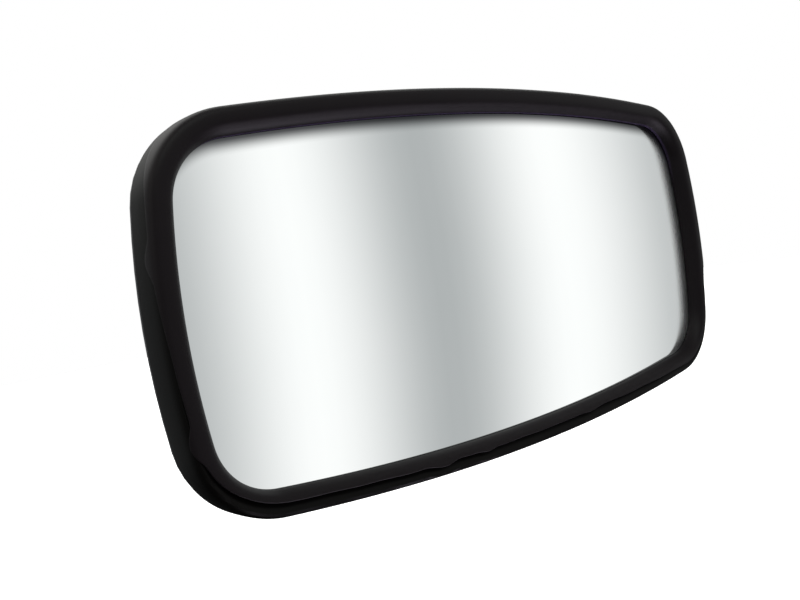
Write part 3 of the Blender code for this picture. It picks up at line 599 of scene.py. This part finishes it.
def make_shell_flange():
    """The rolled front edge of the shell, bare where the lip falls short of it."""
    sections = []
    for i in range(len(STATIONS)):
        first = max(FLANGE_LINE.start, min(lip_reach(i) - FLANGE_TUCK, FLANGE_REACH))
        steps = [first + (FLANGE_LINE.end - first) * k / (FLANGE_POINTS - 1) for k in range(FLANGE_POINTS)]
        outside = [FLANGE_LINE.at(step) for step in steps]
        inside = [FLANGE_LINE.at(step, -FLANGE_WALL) for step in reversed(steps)]
        sections.append([tuple(point) for point in outside + inside])
    return sweep("shell_flange", sections)


def beyond_glass(point):
    """How far a place in the X-Z plane is outside the visible edge of the glass; less than 0 inside."""
    corner, top, side = corner_centre()
    quarter = Vector((abs(point.x), abs(point.y)))
    from_corner = quarter - corner
    side_normal = (corner - side).normalized()
    top_normal = (corner - top).normalized()
    to_side = quarter - side
    to_top = quarter - top
    if to_side.normalized().y < side_normal.y:
        distance = to_side.length - SIDE_BOW_RADIUS
    elif to_top.normalized().x < top_normal.x:
        distance = to_top.length - TOP_BOW_RADIUS
    else:
        distance = from_corner.length - CORNER_RADIUS
    return distance + RIM_WIDTH


def glass_ring(share, depth):
    """The innermost of the glass's edge rings shrunk to a share of its size, at a depth."""
    inside = [rim_point(i, GLASS_EDGE_STEPS[0], depth) for i in range(len(STATIONS))]
    return [dome_point(p.x / MM * share, p.z / MM * share, depth) for p in inside]


def make_mirror_glass():
    """The glass as one fine dome with a domed back, its painted shade under the rim kept as an attribute."""
    bm = bmesh.new()
    shade = bm.verts.layers.float.new("painted_rim_shade")
    rings = [glass_ring(share, GLASS_FRONT) for share in GLASS_SHARES]
    for across in GLASS_EDGE_STEPS:
        rings.append([rim_point(i, across, GLASS_FRONT) for i in range(len(STATIONS))])
    rings.append([rim_point(i, GLASS_COVER, GLASS_BACK) for i in range(len(STATIONS))])
    rings += [glass_ring(share, GLASS_BACK) for share in reversed(GLASS_SHARES)]
    for vert, column, row in sheet(bm, len(STATIONS), len(rings) - 1):
        vert.co = rings[row][column % len(STATIONS)]
        place = Vector((vert.co.x, vert.co.z)) / MM
        # painted shade, darkest at the top edge and fading inwards, standing in for the rim's dark
        # reflection
        vert[shade] = faded((beyond_glass(place + PAINTED_SHADE_SHIFT) - PAINTED_SHADE_START) / PAINTED_SHADE_WIDTH)
    bmesh.ops.remove_doubles(bm, verts=bm.verts, dist=SEAM)
    bmesh.ops.holes_fill(bm, edges=[edge for edge in bm.edges if edge.is_boundary])
    glass = to_object("convex_glass", bm)
    middle = Vector((0, CREST_Y + GLASS_FRONT + DOME_RADIUS, 0)) * MM
    outwards = [(vert.co - middle) / (DOME_RADIUS * MM) for vert in glass.data.vertices]
    # a true sphere's normals on the front, so that reflections run clean; the rest keeps its own
    normals = [n.normalized() if n.length > FRONT_ONLY else Vector() for n in outwards]
    glass.data.normals_split_custom_set_from_vertices(normals)
    return glass


def finished_copy(node, edge):
    """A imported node's own shape, welded into one surface, with its sharp edges softened by edge mm."""
    bm = bmesh.new()
    bm.from_mesh(frame["nodes"][node].data)
    bmesh.ops.remove_doubles(bm, verts=bm.verts, dist=WELD)
    bmesh.ops.dissolve_limit(bm, angle_limit=radians(FLAT_TURN), verts=bm.verts, edges=bm.edges)
    piece = to_object(node + "_finished", bm)
    soften = piece.modifiers.new("soft_edges", "BEVEL")
    soften.width = edge * MM
    soften.segments = 2
    soften.limit_method = "ANGLE"
    soften.angle_limit = radians(SHARP_TURN)
    piece.modifiers.new("flat_faces", "WEIGHTED_NORMAL").keep_sharp = True
    return piece


def dress(piece, body, slot, node):
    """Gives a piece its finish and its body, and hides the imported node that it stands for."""
    piece.data.materials.clear()
    piece.data.materials.append(FINISHES[slot])
    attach(piece, body)
    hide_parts(node)


dress(make_rubber_gasket(), "mirror_head", "black_rubber", "rubber_gasket")
dress(make_mirror_glass(), "mirror_head", "mirror_silver", "mirror_glass")
flange = make_shell_flange()
# the rolled edge takes the darker ABS, whose dark colour is painted shade
flange.data.materials.append(painted_shade_black_edge())
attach(flange, "mirror_head")

for body, nodes in frame["record"]["behaviour"]["bodies"].items():
    for node in nodes:
        slot = frame["nodes"][node].data.materials[0].name
        frame["nodes"][node].data.materials[0] = FINISHES[slot]
        if node not in ("rubber_gasket", "mirror_glass"):
            dress(finished_copy(node, EDGE_SOFTENING.get(node, USUAL_SOFTENING)), body, slot, node)


# ---- camera, room and floor ----
def room_direction(turn, rise):
    """The direction at a turn round from straight in front towards +X and a rise above level."""
    return (sin(turn) * cos(rise), -cos(turn) * cos(rise), sin(rise))


def panel_tone(light):
    """A grey that cools a little as it darkens."""
    shade = 1 - min(light, 1)
    return (light - 0.03 * shade, light, light + 0.012 * shade, 1)


def make_camera():
    """The camera, in front on the left, rolled so that the head leans."""
    data = bpy.data.cameras.new("camera")
    data.lens = CAMERA_LENS
    data.clip_start = 0.01
    camera = bpy.data.objects.new("camera", data)
    bpy.context.scene.collection.objects.link(camera)
    back = Vector(room_direction(CAMERA_TURN, CAMERA_RISE))
    upright = (-back).to_track_quat("-Z", "Y").to_matrix().to_4x4()
    place = Matrix.Translation(CAMERA_TARGET + back * CAMERA_FAR)
    camera.matrix_world = place @ upright @ Matrix.Rotation(CAMERA_ROLL, 4, "Z")
    bpy.context.scene.camera = camera


def make_world():
    """A white room for the eye. Light and reflections come from soft upright panels instead, which
    fade to dim above and to black below, and from a few soft lamps among them."""
    world = bpy.data.worlds.new("studio")
    bpy.context.scene.world = world
    world.use_nodes = True
    tree = world.node_tree
    tree.nodes.clear()
    way = add(tree, "ShaderNodeTexCoord").outputs["Generated"]
    parts = add(tree, "ShaderNodeSeparateXYZ", {"Vector": way}).outputs
    back = add(tree, "ShaderNodeMath", {0: parts["Y"], 1: -1.0}, operation="MULTIPLY").outputs[0]
    bearing = add(tree, "ShaderNodeMath", {0: parts["X"], 1: back}, operation="ARCTAN2").outputs[0]
    share = add(tree, "ShaderNodeMapRange", {"Value": bearing, "From Min": -pi, "From Max": pi})
    height = add(tree, "ShaderNodeMapRange", {"Value": parts["Z"], "From Min": -1.0})
    tones = [((turn + 180) / 360, panel_tone(light)) for turn, light in PANELS]
    room = {0: 1.0}
    for socket, place, stops in ((MIX_A, share, tones), (MIX_B, height, ROOM_FADE)):
        node = add(tree, "ShaderNodeValToRGB", {"Fac": place.outputs["Result"]})
        ramp = node.color_ramp
        ramp.interpolation = "EASE"
        ramp.elements[0].position, ramp.elements[0].color = stops[0]
        ramp.elements[1].position, ramp.elements[1].color = stops[-1]
        for position, colour in stops[1:-1]:
            ramp.elements.new(position).color = colour
        room[socket] = node.outputs["Color"]
    lit = add(tree, "ShaderNodeMix", room, data_type="RGBA", blend_type="MULTIPLY").outputs[MIX_OUT]
    for turn, rise, spread, colour in SOFT_LAMPS:
        towards = room_direction(radians(turn), radians(rise))
        facing = add(tree, "ShaderNodeVectorMath", {0: way, 1: towards}, operation="DOT_PRODUCT")
        span = {"Value": facing.outputs["Value"], "From Min": cos(radians(spread)), "From Max": 1.0}
        pool = add(tree, "ShaderNodeMapRange", span, interpolation_type="SMOOTHSTEP").outputs["Result"]
        pooled = {0: 1.0, MIX_A: colour, MIX_B: pool}
        glow = add(tree, "ShaderNodeMix", pooled, data_type="RGBA", blend_type="MULTIPLY")
        sum_up = {0: 1.0, MIX_A: lit, MIX_B: glow.outputs[MIX_OUT]}
        lit = add(tree, "ShaderNodeMix", sum_up, data_type="RGBA", blend_type="ADD").outputs[MIX_OUT]
    eye = add(tree, "ShaderNodeLightPath").outputs["Is Camera Ray"]
    seen = add(tree, "ShaderNodeMix", {0: eye, MIX_A: lit, MIX_B: (1, 1, 1, 1)}, data_type="RGBA")
    light = add(tree, "ShaderNodeBackground", {"Color": seen.outputs[MIX_OUT]})
    add(tree, "ShaderNodeOutputWorld", {"Surface": light.outputs["Background"]})


def make_light(name, place, target, size, power, colour):
    """A soft rectangular light that faces its target."""
    data = bpy.data.lights.new(name, "AREA")
    data.shape = "RECTANGLE"
    data.size, data.size_y = size
    data.energy = power
    data.color = srgb(colour)[:3]
    light = bpy.data.objects.new(name, data)
    bpy.context.scene.collection.objects.link(light)
    aim = (Vector(target) - Vector(place)).to_track_quat("-Z", "Y")
    light.matrix_world = Matrix.Translation(place) @ aim.to_matrix().to_4x4()


def make_floor():
    """A pale floor, lit so evenly that it meets the white room without a line."""
    bm = bmesh.new()
    bmesh.ops.create_grid(bm, x_segments=2, y_segments=2, size=6.0)
    bmesh.ops.translate(bm, vec=(0, 0, FLOOR_HEIGHT), verts=bm.verts)
    floor = to_object("floor", bm)
    material, tree, shader, place = new_finish("white_painted_floor")
    paint = add(tree, "ShaderNodeTexNoise", {"Vector": place, "Scale": 3.0, "Detail": 3.0})
    colours = {0: paint.outputs["Fac"], MIX_A: srgb("#f4f4f4"), MIX_B: srgb("#fafafa")}
    add(tree, "ShaderNodeMix", colours, (MIX_OUT, shader.inputs["Base Color"]), data_type="RGBA")
    shader.inputs["Roughness"].default_value = 0.9
    shader.inputs["Emission Color"].default_value = (1, 1, 1, 1)
    shader.inputs["Emission Strength"].default_value = 0.9
    floor.data.materials.append(material)
    floor.visible_glossy = False
    floor.visible_diffuse = False


make_camera()
make_world()
make_floor()
make_light("overhead_softbox", (-0.25, -0.75, 0.75), (-0.03, -0.19, 0.07), (0.9, 0.35), 4.0, "#f2fbf4")
bpy.context.scene.view_settings.view_transform = "Standard"
